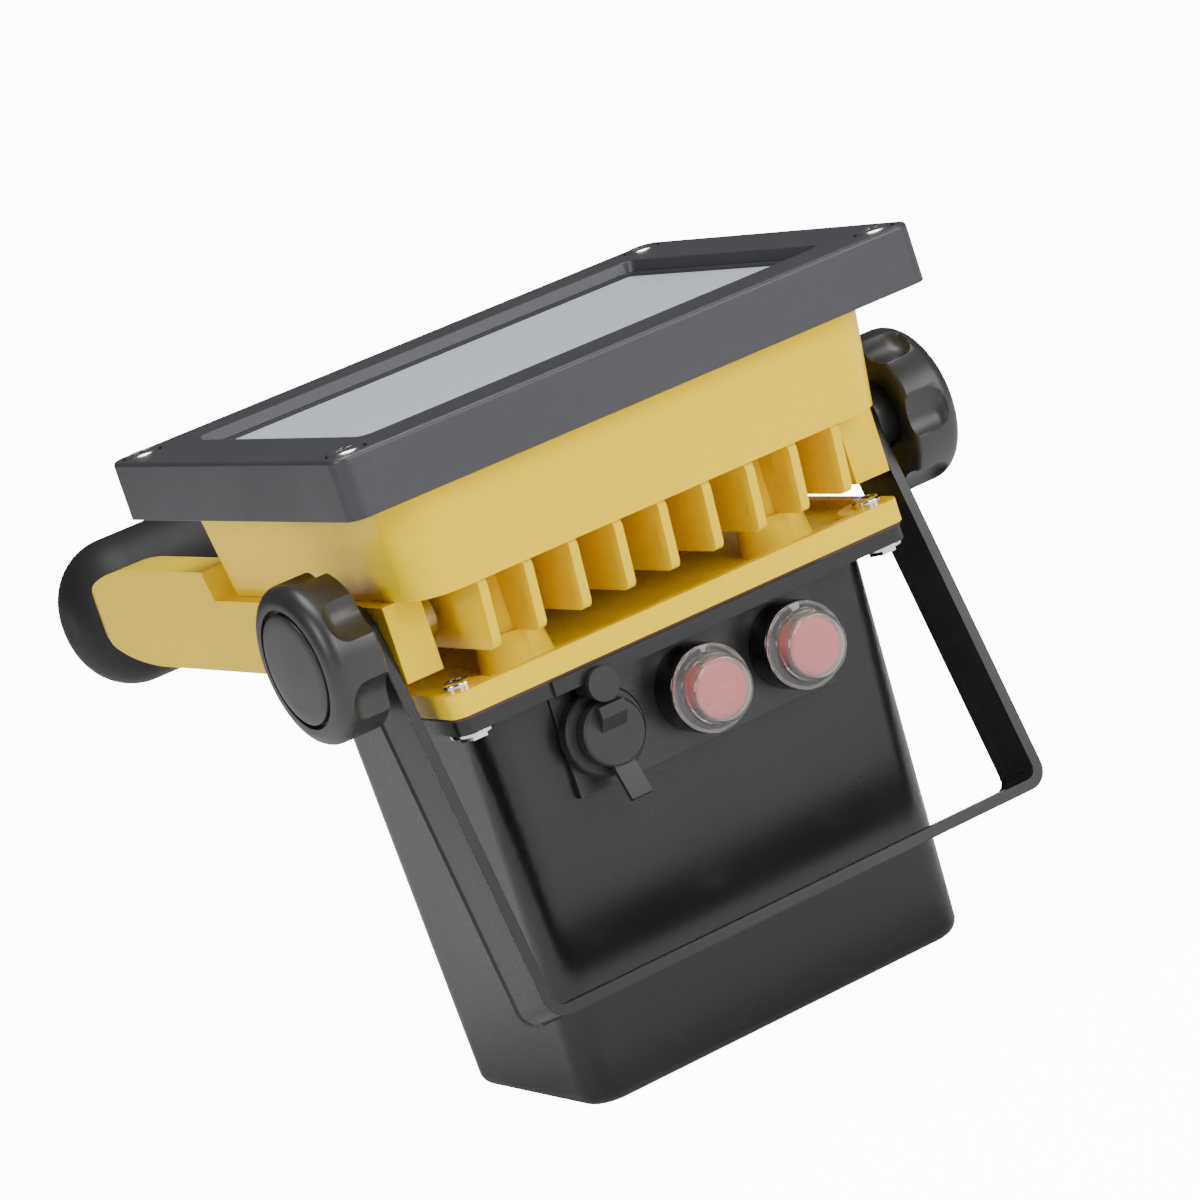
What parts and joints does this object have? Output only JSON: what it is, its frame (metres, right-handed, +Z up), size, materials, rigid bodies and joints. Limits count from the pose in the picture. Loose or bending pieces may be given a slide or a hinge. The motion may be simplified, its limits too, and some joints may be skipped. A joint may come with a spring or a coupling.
{
  "type": "portable rechargeable work light",
  "caption": "Portable rechargeable LED floodlight: framed glass lamp head on a battery box, with push buttons, capped charging socket, tilting stand bracket, clamp knobs and a carrying handle.",
  "frame": {"origin": "on the flat base of the battery box, centred across the lamp, below the middle of the lens; the base plane is z = 0", "axes": "+Z up out of the lens with the battery box standing on its base, -Y towards the buttons and the stand bracket, +Y towards the carrying handle, X along the frame and the bracket's pivot"},
  "size_m": [0.2008, 0.26, 0.1936],
  "materials": {
    "frame_paint": "satin charcoal powder coat",
    "screw_chrome": "bright plated",
    "lens": "polished",
    "seal_black": "matte",
    "seal_brown": "matte",
    "housing_yellow": "glossy",
    "board_white": "matte",
    "led_phosphor": "glossy",
    "reflector_white": "satin",
    "sleeve_grey": "matte",
    "case_black": "fine grain",
    "panel_black": "satin",
    "cell_blue": "glossy sleeve",
    "board_green": "solder mask",
    "button_red": "glossy",
    "boot_clear": "clear silicone",
    "spring_steel": "bright",
    "cap_rubber": "matte",
    "grip_rubber": "matte",
    "bracket_paint": "glossy black",
    "knob_plastic": "fine satin",
    "brass_insert": "machined"
  },
  "bodies": {
    "lamp": {"arm_screws": "screw_chrome", "battery_case": "case_black", "battery_cells": "cell_blue", "board_parts": "panel_black", "button_boot_left": "boot_clear", "button_boot_right": "boot_clear", "button_spring_left": "spring_steel", "button_spring_right": "spring_steel", "cap_retainer": "cap_rubber", "cell_clamp": "case_black", "cell_tray": "case_black", "charge_board": "board_green", "charge_socket": "panel_black", "control_panel": "panel_black", "corner_bolts": "screw_chrome", "corner_nuts": "screw_chrome", "corner_washers": "screw_chrome", "flange_gasket": "seal_brown", "frame_screws": "screw_chrome", "front_frame": "frame_paint", "handle_arm_left": "housing_yellow", "handle_arm_right": "housing_yellow", "handle_cover_left": "housing_yellow", "handle_cover_right": "housing_yellow", "handle_grip": "grip_rubber", "handle_tube": "spring_steel", "heat_sink": "housing_yellow", "led_board": "board_white", "led_chips": "led_phosphor", "lens_gasket": "seal_black", "lens_glass": "lens", "lens_seal": "seal_black", "mount_plate": "housing_yellow", "pivot_stud_left": "spring_steel", "pivot_stud_right": "spring_steel", "plate_screws": "screw_chrome", "reflector": "reflector_white", "socket_nut": "panel_black", "socket_pin": "spring_steel", "switch_contacts_left": "panel_black", "switch_contacts_right": "panel_black", "switch_housing_left": "panel_black", "switch_housing_right": "panel_black", "switch_nut_left": "panel_black", "switch_nut_right": "panel_black", "wire_tube": "sleeve_grey"},
    "bracket_body": {"bracket": "bracket_paint"},
    "knob_left_body": {"knob_left": "knob_plastic", "knob_cap_left": "knob_plastic", "knob_insert_left": "brass_insert"},
    "knob_right_body": {"knob_right": "knob_plastic", "knob_cap_right": "knob_plastic", "knob_insert_right": "brass_insert"},
    "button_left_body": {"button_left": "button_red"},
    "button_right_body": {"button_right": "button_red"},
    "cap_body": {"charge_cap": "cap_rubber"}
  },
  "joints": [
    {"name": "bracket_tilt", "type": "hinge", "parent": "lamp", "child": "bracket_body", "pos_m": [0, -0.0274, 0.1399], "axis": [-1, 0, 0], "range_deg": [-4, 100]},
    {"name": "knob_left_turn", "type": "hinge", "parent": "lamp", "child": "knob_left_body", "pos_m": [0, -0.0274, 0.1399], "axis": [1, 0, 0], "continuous": true},
    {"name": "knob_right_turn", "type": "hinge", "parent": "lamp", "child": "knob_right_body", "pos_m": [0, -0.0274, 0.1399], "axis": [1, 0, 0], "continuous": true},
    {"name": "button_left_press", "type": "slide", "parent": "lamp", "child": "button_left_body", "axis": [0, 1, 0], "range_m": [0, 0.002], "stiffness_N_per_m": 400, "deforming": ["button_spring_left"]},
    {"name": "button_right_press", "type": "slide", "parent": "lamp", "child": "button_right_body", "axis": [0, 1, 0], "range_m": [0, 0.002], "stiffness_N_per_m": 400, "deforming": ["button_spring_right"]},
    {"name": "charge_cap_flip", "type": "hinge", "parent": "lamp", "child": "cap_body", "pos_m": [-0.0305, -0.0536, 0.1046], "axis": [-1, 0, 0], "range_deg": [0, 90]}
  ]
}
